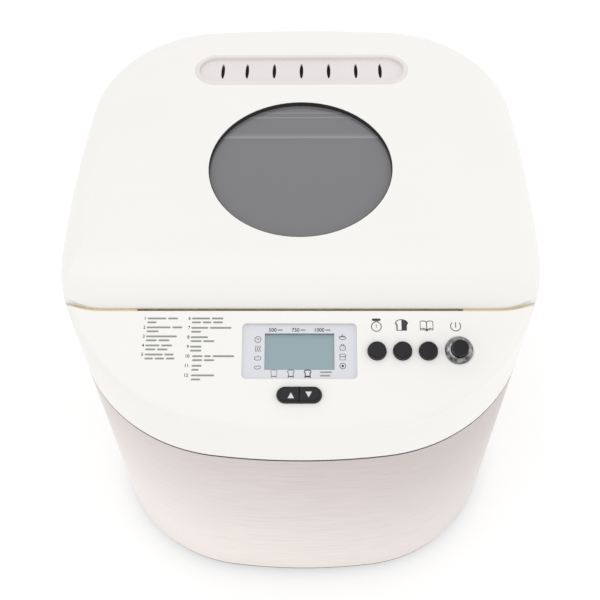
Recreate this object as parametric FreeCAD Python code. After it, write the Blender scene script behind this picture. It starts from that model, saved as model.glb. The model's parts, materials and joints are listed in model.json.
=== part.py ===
import FreeCAD, Part
import math
import os

# Bread machine: white lid and sloped control panel over a brushed steel wrap.
# Millimetres, +Z up, front towards -Y. Lengths along Y are measured from the middle of the oval plan;
# the finished pieces are shifted so that the origin is under the middle of the whole machine.

V = FreeCAD.Vector

# Oval plan: eight tangent arcs, the same on both sides
width = 300.0
depth = 318.5
front_arc_r = 419.5
front_corner_r = 109.3
side_arc_r = 987.4
side_arc_y = -11.9
rear_corner_r = 88.4
rear_arc_r = 878.0

# Heights above the table
foot_height = 8.0
wrap_bottom = 11.0
tray_top = 24.0
skirt_bottom = 190.0
wrap_top = 200.4
housing_bottom = 202.2
frame_bottom = 246.0
trough_floor = 256.5
deck_top = 258.0
rim_top = 260.0
lip_top = 261.5
lid_bottom = 262.0
lid_top = 282.0
well_above = 420.0

# Walls
plastic_wall = 2.5
sheet = 0.8
seam_depth = 3.0
gasket_inset = 1.2
skirt_wall = 2.0
ledge_inset = 1.0
tray_lip_inset = 0.6
tray_inset = 1.0
tray_wall = 2.4

# Base: feet, posts under the chassis, screws and air slots
foot_sole_r = 9.0
foot_r = 11.0
foot_chamfer = 2.0
foot_neck_r = 3.5
foot_knob_r = 5.5
foot_knob = 2.0
foot_places = [(x, y) for x in (-92, 92) for y in (-92, 100)]
post_r = 5.0
post_bore_r = 1.6
post_bore_floor = 20.0
post_places = [(x, y) for x in (-108, 108) for y in (-52, 92)]
base_screw_places = [(x, y) for x in (-120, 120) for y in (-30, 60)]
base_slot_places = [(x, y) for x in range(-56, 57, 14) for y in (-100, 80)]
base_slot_half_x = 2.0
base_slot_half_y = 18.0
base_slot_corner_r = 1.9

# Screws: head and shank radii, and the cross recess as shares of the head
base_screw_r = (4.0, 2.1)
base_screw_head = 1.4
chassis_screw_r = (3.6, 1.6)
chassis_screw_head = 2.0
chassis_screw_tip = 22.0
lid_screw_r = (3.0, 1.4)
lid_screw_head = 1.5
lid_screw_reach = 10.8
board_screw_r = (2.8, 1.5)
board_screw_head = 1.8
screw_play = 0.1
recess_reach = 0.62
recess_half = 0.14
recess_depth = 0.6

# Gland for the mains lead, low in the rear wall
gland_x = -68.0
gland_z = 40.0
gland_body_r = 6.0
gland_flange_r = 9.0
gland_bore_r = 3.6
gland_proud = 5.0
gland_outer_seat = 1.0
gland_inner_seat = 3.0
gland_inside = 8.0

# Control panel: a plane that rises towards the lid
panel_slope = 17.9
panel_y = -156.0
panel_z = 242.4
crease_r = 4.5
panel_cut = 6.0

# Lid
gap_y = -90.2
lid_gap = 2.7
lid_front_wall = 1.0
lid_shoulder_run = 34.0
lid_edge_r = 18.0
crown_trim = 0.1
lid_bend_x = 120.0
lid_bend_r = 56.7
lid_boss_r = 4.0
lid_boss_lift = 1.6
lid_boss_places = [(x, y) for x in (-104, 104) for y in (-50, 80)]
liner_lift = 0.2
liner_thick = 1.2
liner_behind = 0.9
inner_pane_r = 60.0
inner_pane_lap = 4.0

# Trim frame under the lid, with a trough behind the panel
frame_inset = 2.7
frame_wall = 1.5
frame_play = 0.2
lip_gap = 1.8
lip_depth = 5.0
trough_half_x = 99.0
trough_rear = -80.0
trough_wall = 0.9
trough_play = 0.1
trough_thick = 1.0

# Window and vent strip in the lid
window_y = 12.3
window_r = 59.9
pane_sink = 3.2
pane_thick = 3.0
pane_lap = 3.5
gasket_lip = 0.5
gasket_sink = 0.3
retainer_lap = 2.5
retainer_thick = 2.5
retainer_wall = 1.6
vent_y = 105.5
vent_half_length = 75.4
vent_half_width = 15.6
vent_rim = 3.0
vent_recess = 2.0
vent_floor = 1.7
vent_proud = 0.4
vent_lip_r = 0.7
filter_inset = 4.0
filter_thick = 2.0
slot_length = 15.4
slot_width = 2.6
slot_y = 106.2
slot_pitch = 19.3
end_slot_pitch = 17.2

# Rear hinge
hinge_behind = 4.5
hinge_z = 256.0
knuckle_r = 5.5
hinge_pin_r = 2.0
hinge_x = 70.0
knuckle_half = 6.5
ear_width = 5.0
ear_top = 3.5
ear_root = 2.0
gusset_drop = 20.0
gusset_thick = 4.0
side_play = 0.5
strap_thick = 3.4
strap_root = 1.2
neck_front = 4.0
neck_r = 6.0
pin_press = 0.02

# Controls, as places along X and up the panel
bezel_half_x = 34.4
bezel_low = 27.2
bezel_high = 61.6
bezel_corner_r = 3.0
bezel_sink = 2.2
bezel_flange = 2.0
bezel_back = 4.0
glass_half_x = 20.9
glass_low = 33.3
glass_high = 55.8
glass_sink = 0.8
glass_back = 4.6
module_half_x = 30.0
module_margin = 4.0
button_r = 5.5
button_v = 44.25
button_xs = (46.2, 61.4, 76.7)
button_proud = 3.2
button_edge_r = 1.3
button_travel = 1.2
button_play = 0.3
button_collar = 1.3
button_back = 3.7
button_stem = 5.0
stem_r = 2.0
collar_play = 0.1
start_x = 94.8
start_v = 44.5
start_cap_r = 5.0
start_proud = 8.4
start_edge_r = 1.0
start_stem = 6.0
start_collar = (-5.6, -4.6)
start_collar_lap = 1.2
ring_r = 8.5
ring_lap = 0.8
ring_back = 4.2
ring_rise = 4.0
ring_shoulder_r = 2.9
boss_r = 10.2
boss_root = 1.0
boss_rise = 0.7
boss_edge_r = 0.6
rocker_v = 17.6
rocker_half_x = 13.2
rocker_half_v = 4.8
rocker_proud = 2.8
rocker_edge_r = 1.6
rocker_collar = 1.2
rocker_split = 0.5

# Control board behind the panel
board_depth = 9.4
board_thick = 1.6
board_upper = (-48, 104, 29, 60)
board_lower = (-36, 36, 8, 29)
board_hole_r = 1.6
board_screw_places = [(-33, 12), (33, 12), (-44, 54), (100, 57)]
switch_places = ([(x, button_v) for x in button_xs] + [(start_x, start_v)]
                 + [(side * rocker_half_x / 2, rocker_v) for side in (-1, 1)])
switch_half = 3.0
switch_play = 0.2
plunger_r = 1.6
plunger_rise = 0.9

# Oven
oven_y = 22.0
chamber_half_x = 95.0
chamber_half_y = 90.0
chamber_corner_r = 20.0
chamber_floor = 52.0
chamber_flange = 6.0
element_half_x = 85.0
element_half_y = 80.0
element_z = 78.0
element_r = 3.3
element_bend = 24.0
element_turn = 8.0
element_end = -76.0
terminal_x = 16.0
terminal_r = 5.5
terminal_thick = 4.0
port_play = 0.9
clip_half = 4.0
clip_thick = 1.2
clip_reach = 35.0
shield_y = -80.0
shield_half_x = 104.0
shield_top = 244.0
shield_foot = 8.0
sensor_x = 45.0
sensor_z = 120.0
sensor_r = 3.2
sensor_head_r = 5.0
sensor_behind = 10.0
sensor_reach = 6.0
pan_clip_y = 14.0
pan_clip_gap = 5.0
pan_clip_half = 5.0
pan_clip_foot = 3.0
pan_clip_blade = 0.5
pan_clip_top = 9.0

# Pan
pan_half_x = 75.0
pan_half_y = 70.0
pan_corner_r = 22.0
pan_wall = 1.5
pan_edge_r = 9.0
pan_floor = 64.0
pan_rim = 190.0
rim_proud = 2.6
rim_thick = 1.5
ear_half = 9.0
ear_plate = 2.5
ear_low = 160.0
pan_foot_r = 46.0
pan_foot_wall = 1.5
pan_foot_play = 0.3
foot_flange_r = 30.0
foot_flange = 1.2
lug_half = (3.0, 6.0)
lug_lift = 3.0
bail_pivot_z = 196.0
bail_x = 81.0
bail_height = 42.0
bail_bend = 12.0
bail_r = 2.5
bail_rest_angle = 88.0
running_play = 0.05

# Paddle and the parts of its shaft in the pan
bush_r = 7.0
bush_low = 62.8
bush_top = 73.0
bush_flange_r = 10.0
bush_flange = 2.0
seal_r = 6.5
seal_thick = 2.0
paddle_shaft_top = 96.0
shaft_flat = 2.8
flat_low = 78.0
hub_r = 8.0
hub_low = 76.0
hub_top = 98.0
blade = (6.0, 46.0, 2.2)
blade_height = (77.0, 97.0)
blade_r = 1.5
toe = (16.0, 50.0, 3.0)
toe_height = (72.1, 80.0)
toe_r = 2.5

# Drive
chassis_z = 34.0
chassis_thick = 2.0
chassis_inset = 14.0
chassis_post_hole_r = 1.8
chassis_screw_hole_r = 2.15
chassis_motor_hole_r = 12.0
leg_half = 6.0
leg_places = [(x, y) for x in (-70, 70) for y in (-45, 90)]
shaft_r = 4.0
shaft_low = 14.0
bearing_r = 16.0
bearing_play = 0.2
bearing_flange_r = 22.0
bearing_low = 30.0
bearing_top = 52.8
bearing_bore_r = 6.5
drive_bush = 6.0
dog_r = 15.0
dog_bottom = 53.4
dog_floor = 55.6
dog_top = 60.0
dog_play = 0.5
dog_wing_half = 3.0
dog_wing_start = 6.0
pan_dog_wing_start = 8.2
pan_dog_top = 62.5
pulley_low = 16.0
pulley_high = 28.0
pulley_rim = 1.6
pulley_flange = 0.9
driven_r = 45.0
web_r = (39.0, 10.0)
web_depth = 6.0
web_hole_r = 9.0
web_hole_at = 25.0
web_hole_count = 6
motor_pulley_r = 9.0
belt_inset = 2.5
belt_play = 0.3
belt_thick = 2.5
motor_y = -112.0
motor_r = 30.0
motor_top = 108.0
motor_edge_r = 5.0
motor_shaft_r = 3.0
motor_shaft_top = 101.0
motor_flange = (40.0, 26.0, 4.0)
motor_flange_r = 8.0

# Mains parts beside the motor
capacitor_place = (84.0, -106.0)
capacitor_r = 17.0
capacitor_top = 92.0
capacitor_edge_r = 2.0
power_board_y = -112.0
power_board_x = (-98.0, -46.0)
power_board_top = 96.0
mains_low = 44.0
transformer = (-92.0, -64.0, 18.4, 70.0)
relay = (-60.0, -50.0, 13.4, 60.0)

# Cutting tools reach well past what they cut
through = 100.0
tiny = 1e-3

plate_top = foot_height + plastic_wall
chassis_top = chassis_z + chassis_thick
oven_front = oven_y - chamber_half_y
pane_top = lid_top - pane_sink
vent_low = lid_top - vent_recess - vent_floor
hinge_y = depth / 2 + hinge_behind
overhang = hinge_y + knuckle_r - depth / 2
origin_shift = V(0, -overhang / 2, 0)
lid_front = gap_y + lid_gap
lid_drop = lid_top - lid_bottom - lid_front_wall
lid_shoulder_r = (lid_shoulder_run ** 2 + lid_drop ** 2) / (2 * lid_drop)
last_slot = 2 * slot_pitch + end_slot_pitch
slot_places = [-last_slot] + [slot_pitch * i for i in range(-2, 3)] + [last_slot]
panel_place = FreeCAD.Placement(V(0, panel_y, panel_z), FreeCAD.Rotation(V(1, 0, 0), panel_slope))


# Plain shapes

def box(x0, x1, y0, y1, z0, z1):
    return Part.makeBox(x1 - x0, y1 - y0, z1 - z0, V(x0, y0, z0))


def rounded_box(x0, x1, y0, y1, z0, z1, r):
    block = box(x0, x1, y0, y1, z0, z1)
    uprights = [e for e in block.Edges if abs(e.BoundBox.ZLength - (z1 - z0)) < 1e-6]
    return block.makeFillet(r, uprights)


def cyl(r, x, y, z0, z1):
    return Part.makeCylinder(r, z1 - z0, V(x, y, z0))


def bore(r, x, y, z):
    """Long upright cylinder about a height, to cut a hole."""
    return cyl(r, x, y, z - through, z + through)


def tube(outer, inner, x, y, z0, z1):
    return cyl(outer, x, y, z0, z1).cut(cyl(inner, x, y, z0, z1))


def rod_x(r, x0, x1, y, z):
    return Part.makeCylinder(r, x1 - x0, V(x0, y, z), V(1, 0, 0))


def rod_y(r, x, y0, y1, z):
    return Part.makeCylinder(r, y1 - y0, V(x, y0, z), V(0, 1, 0))


def join(shapes):
    return shapes[0].multiFuse(shapes[1:]).removeSplitter()


def group(shapes):
    return Part.makeCompound(shapes)


def copies(shape, places):
    return [shape.translated(V(x, y, 0)) for x, y in places]


def spun(points):
    """Turn a profile of (radius, height) points about the Z axis."""
    outline = Part.makePolygon([V(r, 0, z) for r, z in points + points[:1]])
    return Part.Face(outline).revolve(V(0, 0, 0), V(0, 0, 1), 360)


def top_rounded(shape, top, r):
    """Round the edges that lie in a shape's top face."""
    return shape.makeFillet(r, [e for e in shape.Edges if e.BoundBox.ZMin > top - tiny])


def screw(radii, outer, seat, tip):
    """Screw along Z with a cross recess: outer face and seat of its head, then its tip."""
    head_r, shank_r = radii
    points = [(0, outer), (head_r, outer), (head_r, seat), (shank_r, seat), (shank_r, tip), (0, tip)]
    body = spun(points if outer < tip else points[::-1])
    z0, z1 = sorted((outer, outer + (seat - outer) * recess_depth))
    arm, half = head_r * recess_reach, head_r * recess_half
    return body.cut(join([box(-arm, arm, -half, half, z0, z1), box(-half, half, -arm, arm, z0, z1)]))


def arc_edge(centre, start, end):
    """Arc about a centre, shorter than a half turn."""
    radius = (start - centre).Length
    half = (start - centre) + (end - centre)
    half.normalize()
    return Part.Arc(start, centre + half * radius, end).toShape()


def wire(edges):
    return Part.Wire(Part.__sortEdges__(edges))


def prism(edges, height):
    return Part.Face(wire(edges)).extrude(V(0, 0, height))


def piped(edges, r, along):
    """Round bar along edges whose first run goes along a direction."""
    path = wire(edges)
    ring = Part.Wire([Part.makeCircle(r, path.OrderedVertexes[0].Point, along)])
    return path.makePipeShell([ring], True, False)


def stadium(half_length, half_width, z0, z1):
    """Upright prism with half-round ends along X."""
    straight = half_length - half_width
    middle = box(-straight, straight, -half_width, half_width, z0, z1)
    return join([middle, cyl(half_width, -straight, 0, z0, z1), cyl(half_width, straight, 0, z0, z1)])


def slit(length, across, z0, z1):
    """Upright elliptical prism, long along Y."""
    outline = Part.Ellipse(V(0, length / 2, z0), V(across / 2, 0, z0), V(0, 0, z0))
    return prism([outline.toShape()], z1 - z0)


def on_panel(shape, x=0.0, v=0.0):
    """Set a shape on the panel: X across, Y up the slope, Z along the outward normal."""
    shape.Placement = panel_place.multiply(FreeCAD.Placement(V(x, v, 0), FreeCAD.Rotation()))
    return shape


# Oval plan

def circles_meet(a, ra, b, rb, rear):
    """Meeting point of two circles, the one nearer the rear or the front."""
    along = b - a
    span = along.Length
    reach = (ra ** 2 - rb ** 2 + span ** 2) / (2 * span)
    rise = math.sqrt(ra ** 2 - reach ** 2)
    along.normalize()
    foot = a + along * reach
    across = V(-along.y, along.x, 0) * rise
    ends = sorted((foot + across, foot - across), key=lambda p: p.y)
    return ends[1] if rear else ends[0]


front_c = V(0, front_arc_r - depth / 2, 0)
side_c = V(width / 2 - side_arc_r, side_arc_y, 0)
rear_c = V(0, depth / 2 - rear_arc_r, 0)
front_corner_c = circles_meet(front_c, front_arc_r - front_corner_r,
                              side_c, side_arc_r - front_corner_r, False)
rear_corner_c = circles_meet(rear_c, rear_arc_r - rear_corner_r,
                             side_c, side_arc_r - rear_corner_r, True)


def beyond(a, b, distance):
    """Point on the line from a through b, at a distance from b."""
    way = b - a
    way.normalize()
    return b + way * distance


def flipped(p):
    return V(-p.x, p.y, p.z)


def oval(inset, z0, z1):
    """Prism of the plan, its outline moved inwards."""
    front_r, rear_r = front_corner_r - inset, rear_corner_r - inset
    tangents = (beyond(front_c, front_corner_c, front_r), beyond(side_c, front_corner_c, front_r),
                beyond(side_c, rear_corner_c, rear_r), beyond(rear_c, rear_corner_c, rear_r))
    lift = V(0, 0, z0)
    a, b, c, d = (p + lift for p in tangents)
    edges = [arc_edge(front_c + lift, flipped(a), a), arc_edge(rear_c + lift, d, flipped(d))]
    for centre, start, end in ((front_corner_c, a, b), (side_c, b, c), (rear_corner_c, c, d)):
        edges.append(arc_edge(centre + lift, start, end))
        edges.append(arc_edge(flipped(centre) + lift, flipped(start), flipped(end)))
    return prism(edges, z1 - z0)


def rear_wall_y(x):
    return rear_c.y + math.sqrt(rear_arc_r ** 2 - x ** 2)


def behind(front, inset, bend_r, z0, z1):
    """Prism of the plan behind a straight front line whose ends bend back."""
    bends = [cyl(bend_r, side * lid_bend_x, front + bend_r, z0, z1) for side in (-1, 1)]
    middle = box(-lid_bend_x, lid_bend_x, front, depth, z0, z1)
    rear = box(-width, width, front + bend_r, depth, z0, z1)
    return oval(inset, z0, z1).common(join([middle, rear] + bends))


def lid_space(margin, z0, z1):
    """Room that the lid takes out of the housing, grown by a margin."""
    grow = lid_gap + margin
    return behind(lid_front - grow, -grow, lid_bend_r + grow, z0, z1)


def chamber_prism(inset, z0, z1):
    return rounded_box(-chamber_half_x + inset, chamber_half_x - inset, oven_front + inset,
                       oven_y + chamber_half_y - inset, z0, z1, chamber_corner_r - inset)


# Lower casing

def rubber_feet():
    knob_top = plate_top + foot_knob
    foot = spun([(0, 0), (foot_sole_r, 0), (foot_r, foot_chamfer), (foot_r, foot_height),
                 (foot_neck_r, foot_height), (foot_neck_r, plate_top), (foot_knob_r, plate_top),
                 (foot_knob_r, knob_top), (0, knob_top)])
    return group(copies(foot, foot_places))


def base_tray():
    lip = oval(tray_lip_inset, foot_height, wrap_bottom)
    tray = join([lip, oval(tray_inset, wrap_bottom, tray_top)])
    tray = tray.cut(oval(tray_inset + tray_wall, plate_top, tray_top))
    tray = join([tray] + [cyl(post_r, x, y, plate_top, chassis_z) for x, y in post_places])
    cuts = [cyl(foot_neck_r, x, y, 0, plate_top) for x, y in foot_places]
    cuts += [cyl(post_bore_r, x, y, post_bore_floor, chassis_z) for x, y in post_places]
    cuts += [cyl(base_screw_r[1] + screw_play, x, y, 0, plate_top) for x, y in base_screw_places]
    slot = rounded_box(-base_slot_half_x, base_slot_half_x, -base_slot_half_y, base_slot_half_y,
                       0, plate_top, base_slot_corner_r)
    return tray.cut(group(cuts + copies(slot, base_slot_places)))


def base_screws():
    piece = screw(base_screw_r, foot_height - base_screw_head, foot_height, chassis_top)
    return group(copies(piece, base_screw_places))


def steel_wrap():
    skin = oval(0, wrap_bottom, wrap_top).cut(oval(sheet, wrap_bottom, wrap_top - sheet))
    skin = skin.cut(oval(seam_depth, wrap_top - sheet, wrap_top))
    return skin.cut(rod_y(gland_body_r, gland_x, 0, depth, gland_z))


def cord_gland():
    wall = rear_wall_y(gland_x)
    outer, inner = wall + gland_proud, wall - gland_inside
    gland = join([rod_y(gland_flange_r, gland_x, wall + gland_outer_seat, outer, gland_z),
                  rod_y(gland_body_r, gland_x, inner, outer, gland_z),
                  rod_y(gland_flange_r, gland_x, inner, wall - gland_inner_seat, gland_z)])
    return gland.cut(rod_y(gland_bore_r, gland_x, inner, outer, gland_z))


def seam_gasket():
    ring = oval(gasket_inset, wrap_top, housing_bottom)
    return ring.cut(oval(seam_depth, wrap_top, housing_bottom))


# Upper housing

def above_panel(depth_below):
    return on_panel(box(-width, width, -width, 2 * width, -depth_below, width))


def housing_block(inset, z0):
    """Plan under the panel's plane, both moved inwards; the outer one has its crease rounded."""
    block = oval(inset, z0, well_above).cut(above_panel(inset))
    if inset:
        return block
    normal = panel_place.Rotation.multVec(V(0, 0, 1))
    crease = [e for e in block.Edges
              if all(abs((p.Point - panel_place.Base).dot(normal)) < 1e-4 for p in e.Vertexes)]
    return block.makeFillet(crease_r, crease)


def hinge_ears():
    ears = []
    root = rear_wall_y(hinge_x + knuckle_half + ear_width) - ear_root
    for side in (-1, 1):
        for end in (-1, 1):
            near = side * hinge_x + end * (knuckle_half + side_play)
            x0, x1 = sorted((near, near + end * ear_width))
            arm = box(x0, x1, root, hinge_y, hinge_z - knuckle_r, hinge_z + ear_top)
            tip = rod_x(knuckle_r, x0, x1, hinge_y, hinge_z)
            gusset = box(x0, x1, root, root + gusset_thick, hinge_z - gusset_drop, hinge_z)
            ears.append(join([arm, tip, gusset]))
    return ears


def panel_holes():
    display = rounded_box(-bezel_half_x, bezel_half_x, bezel_low, bezel_high, -panel_cut, panel_cut,
                          bezel_corner_r)
    key = cyl(button_r + button_play, 0, 0, -panel_cut, panel_cut)
    ring = cyl(ring_r - ring_lap, 0, 0, -panel_cut, panel_cut)
    rocker = stadium(rocker_half_x + button_play, rocker_half_v + button_play, -panel_cut, panel_cut)
    keys = [on_panel(key.copy(), x, button_v) for x in button_xs]
    return keys + [on_panel(display), on_panel(ring, start_x, start_v), on_panel(rocker, 0, rocker_v)]


def start_boss():
    """Raised seat of the panel under the start button's ring."""
    boss = cyl(boss_r, 0, 0, -boss_root, boss_rise)
    return on_panel(top_rounded(boss, boss_rise, boss_edge_r), start_x, start_v)


def frame_bed(z0, z1):
    """Where the trim frame lies on the deck."""
    return oval(frame_inset, z0, z1).common(lid_space(0, z0, z1))


def trough(grow, z0, z1):
    return box(-trough_half_x - grow, trough_half_x + grow, gap_y + trough_wall + trough_play - grow,
               trough_rear + grow, z0, z1)


def housing_shell():
    """White skin with its deck and panel, and the skirt that stands inside the steel wrap."""
    outer = housing_block(0, housing_bottom).cut(lid_space(0, rim_top, well_above))
    under_lid = lid_space(plastic_wall, deck_top - plastic_wall, well_above)
    shell = outer.cut(housing_block(plastic_wall, housing_bottom).cut(under_lid))
    ledge_top = housing_bottom + plastic_wall
    skirt = join([oval(seam_depth, skirt_bottom, ledge_top), oval(ledge_inset, housing_bottom, ledge_top)])
    return join([shell, skirt.cut(oval(seam_depth + skirt_wall, skirt_bottom, ledge_top))] + hinge_ears())


def upper_housing():
    shell = join([housing_shell(), start_boss()]).cut(group(panel_holes()))
    shell = shell.cut(frame_bed(deck_top, lid_bottom))
    shell = shell.cut(chamber_prism(0, frame_bottom, lid_bottom))
    shell = shell.cut(trough(trough_wall + trough_play, trough_floor - trough_thick, rim_top))
    return shell.cut(rod_x(hinge_pin_r + pin_press, -through, through, hinge_y, hinge_z))


def front_lip():
    """Raised strip of the trim frame under the lid's front edge."""
    strip = frame_bed(rim_top, lip_top).common(lid_space(-lip_gap, rim_top, lip_top))
    return strip.cut(box(-width, width, lid_front + lip_depth, depth, rim_top, lip_top))


def chamber_frame():
    plate = frame_bed(deck_top, rim_top)
    skirt = chamber_prism(frame_play, frame_bottom, rim_top)
    frame = join([plate, skirt, front_lip(), trough(trough_wall, trough_floor, rim_top)])
    frame = frame.cut(chamber_prism(frame_play + frame_wall, frame_bottom, rim_top))
    return frame.cut(trough(0, trough_floor + trough_thick, lip_top))


# Lid

def lid_profile(inset, z0):
    """Side view of the lid, drawn across the width: a low front, a round shoulder and a flat top."""
    top, front = lid_top - inset, lid_front + inset
    centre = V(-width, lid_front + lid_shoulder_run, lid_top - lid_shoulder_r)
    radius = lid_shoulder_r - inset
    low = V(-width, front, centre.z + math.sqrt(radius ** 2 - (front - centre.y) ** 2))
    high = V(-width, centre.y, top)
    corners = [high, V(-width, depth, top), V(-width, depth, z0), V(-width, front, z0), low]
    edges = [Part.makeLine(p, q) for p, q in zip(corners, corners[1:])] + [arc_edge(centre, low, high)]
    return Part.Face(wire(edges)).extrude(V(2 * width, 0, 0))


def lid_form(inset, z0):
    slab_top = lid_top - inset + crown_trim
    slab = top_rounded(oval(inset, z0, slab_top), slab_top, lid_edge_r - inset)
    plan = behind(lid_front + inset, inset, lid_bend_r - inset, z0, slab_top)
    return slab.common(lid_profile(inset, z0)).common(plan)


def lid_knuckles():
    arms = []
    strap_top = lid_bottom + strap_thick
    root = rear_wall_y(hinge_x + knuckle_half) - strap_root
    for side in (-1, 1):
        x0, x1 = side * hinge_x - knuckle_half, side * hinge_x + knuckle_half
        barrel = rod_x(knuckle_r, x0, x1, hinge_y, hinge_z)
        strap = box(x0, x1, root, hinge_y, lid_bottom, strap_top)
        neck = box(x0, x1, hinge_y - neck_front, hinge_y + knuckle_r - 1, hinge_z, strap_top)
        bend = [e for e in neck.Edges if e.BoundBox.YMin > hinge_y and e.BoundBox.ZMin > strap_top - tiny]
        arms.append(join([barrel, strap, neck.makeFillet(neck_r, bend)]))
    return arms


def lid_shell():
    shell = lid_form(0, lid_bottom).cut(lid_form(plastic_wall, lid_bottom))
    bosses = [cyl(lid_boss_r, x, y, lid_bottom + lid_boss_lift, lid_top - 1) for x, y in lid_boss_places]
    shell = join([shell] + lid_knuckles() + bosses)
    strip = stadium(vent_half_length, vent_half_width, vent_low, lid_top + 1).translated(V(0, vent_y, 0))
    shell = shell.cut(cyl(window_r, 0, window_y, pane_top, lid_top + 1)).cut(strip)
    tip = lid_bottom + liner_lift + lid_screw_reach
    shell = shell.cut(group([cyl(lid_screw_r[1], x, y, lid_bottom, tip) for x, y in lid_boss_places]))
    return shell.cut(rod_x(hinge_pin_r + running_play, -through, through, hinge_y, hinge_z))


def window_pane():
    return cyl(window_r + pane_lap, 0, window_y, pane_top - pane_thick, pane_top)


def window_gasket():
    inner = window_r - gasket_lip
    under_lid = lid_top - plastic_wall
    flat = tube(window_r + pane_lap, inner, 0, window_y, pane_top, under_lid)
    return join([flat, tube(window_r, inner, 0, window_y, under_lid, lid_top - gasket_sink)])


def window_retainer():
    low = pane_top - pane_thick
    inner = window_r + pane_lap + frame_play
    ring = tube(inner + retainer_wall, window_r - retainer_lap, 0, window_y, low - retainer_thick, low)
    return join([ring, tube(inner + retainer_wall, inner, 0, window_y, low, lid_top - plastic_wall)])


def lid_liner():
    low = lid_bottom + liner_lift
    inset = plastic_wall + frame_play
    front = lid_front + inset + liner_behind
    plate = behind(front, inset, lid_bend_r - plastic_wall, low, low + liner_thick)
    vent = slit(slot_length, 2 * slot_width, low, low + liner_thick)
    vents = copies(vent, [(x, slot_y) for x in slot_places])
    screws = [bore(lid_screw_r[1] + button_play, x, y, low) for x, y in lid_boss_places]
    return plate.cut(group(vents + screws + [bore(inner_pane_r - inner_pane_lap, 0, window_y, low)]))


def inner_pane():
    low = lid_bottom + liner_lift + liner_thick
    return cyl(inner_pane_r, 0, window_y, low, low + pane_thick)


def vent_strip():
    top = lid_top + vent_proud
    body = stadium(vent_half_length, vent_half_width, vent_low, top)
    body = top_rounded(body, top, vent_lip_r)
    dish = stadium(vent_half_length - vent_rim, vent_half_width - vent_rim, lid_top - vent_recess, top)
    slot = slit(slot_length, slot_width, vent_low, top)
    slots = copies(slot, [(x, slot_y - vent_y) for x in slot_places])
    return body.cut(dish).cut(group(slots)).translated(V(0, vent_y, 0))


def vent_filter():
    low = vent_low - filter_thick
    pad = stadium(vent_half_length - filter_inset, vent_half_width - filter_inset, low, vent_low)
    return pad.translated(V(0, vent_y, 0))


def lid_screws():
    seat = lid_bottom + liner_lift
    piece = screw(lid_screw_r, seat - lid_screw_head, seat, seat + lid_screw_reach)
    return group(copies(piece, lid_boss_places))


def hinge_pins():
    reach = knuckle_half + side_play + ear_width
    return group([rod_x(hinge_pin_r, x - reach, x + reach, hinge_y, hinge_z) for x in (-hinge_x, hinge_x)])


# Controls

def push_button(x):
    cap = top_rounded(cyl(button_r, 0, 0, -button_back, button_proud), button_proud, button_edge_r)
    collar = cyl(button_r + button_collar, 0, 0, -button_back, -plastic_wall - collar_play)
    return on_panel(join([cap, collar, cyl(stem_r, 0, 0, -button_stem, -button_back)]), x, button_v)


def start_button():
    cap = top_rounded(cyl(start_cap_r, 0, 0, -start_stem, start_proud), start_proud, start_edge_r)
    return on_panel(join([cap, cyl(start_cap_r + start_collar_lap, 0, 0, *start_collar)]), start_x, start_v)


def start_ring():
    """Plated ring with a quarter-round shoulder, its stem in the panel's hole."""
    dome = top_rounded(cyl(ring_r, 0, 0, boss_rise, ring_rise), ring_rise, ring_shoulder_r)
    stem = cyl(ring_r - ring_lap, 0, 0, -ring_back, boss_rise)
    hole = bore(start_cap_r + button_play, 0, 0, 0)
    return on_panel(join([dome, stem]).cut(hole), start_x, start_v)


def rocker_button(side):
    cap = stadium(rocker_half_x, rocker_half_v, -button_back, rocker_proud)
    cap = top_rounded(cap, rocker_proud, rocker_edge_r)
    skirt = stadium(rocker_half_x + rocker_collar, rocker_half_v + rocker_collar,
                    -button_back, -plastic_wall - collar_play)
    x0, x1 = sorted((side * rocker_split / 2, side * width))
    half = box(x0, x1, -width, width, -width, width)
    stem = cyl(stem_r, side * rocker_half_x / 2, 0, -button_stem, -button_back)
    return on_panel(join([join([cap, skirt]).common(half), stem]), 0, rocker_v)


def lcd_bezel():
    x, low, high, lap = bezel_half_x, bezel_low, bezel_high, bezel_flange
    rim = rounded_box(-x - lap, x + lap, low - lap, high + lap, -bezel_back, -plastic_wall,
                      bezel_corner_r + lap / 2)
    face = rounded_box(-x, x, low, high, -bezel_back, -bezel_sink, bezel_corner_r)
    hole = box(-glass_half_x, glass_half_x, glass_low, glass_high, -bezel_back, 0)
    return on_panel(join([rim, face]).cut(hole))


def lcd_screen():
    top = -bezel_sink - glass_sink
    return on_panel(box(-glass_half_x, glass_half_x, glass_low, glass_high, -glass_back, top))


def lcd_module():
    return on_panel(box(-module_half_x, module_half_x, glass_low - module_margin, glass_high + module_margin,
                        -board_depth, -glass_back))


def control_board():
    low = -board_depth - board_thick
    board = join([box(*board_upper, low, -board_depth), box(*board_lower, low, -board_depth)])
    return on_panel(board.cut(group([bore(board_hole_r, x, v, low) for x, v in board_screw_places])))


def tact_switches():
    switches = []
    for x, v in switch_places:
        stem_end = start_stem if x == start_x else button_stem
        top = -stem_end - button_travel - switch_play
        body_top = top - plunger_rise
        body = box(-switch_half, switch_half, -switch_half, switch_half, -board_depth, body_top)
        switches.append(on_panel(join([body, cyl(plunger_r, 0, 0, body_top, top)]), x, v))
    return group(switches)


def board_screws():
    seat = -board_depth - board_thick
    piece = screw(board_screw_r, seat - board_screw_head, seat, -plastic_wall)
    return group([on_panel(piece.copy(), x, v) for x, v in board_screw_places])


# Oven

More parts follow.
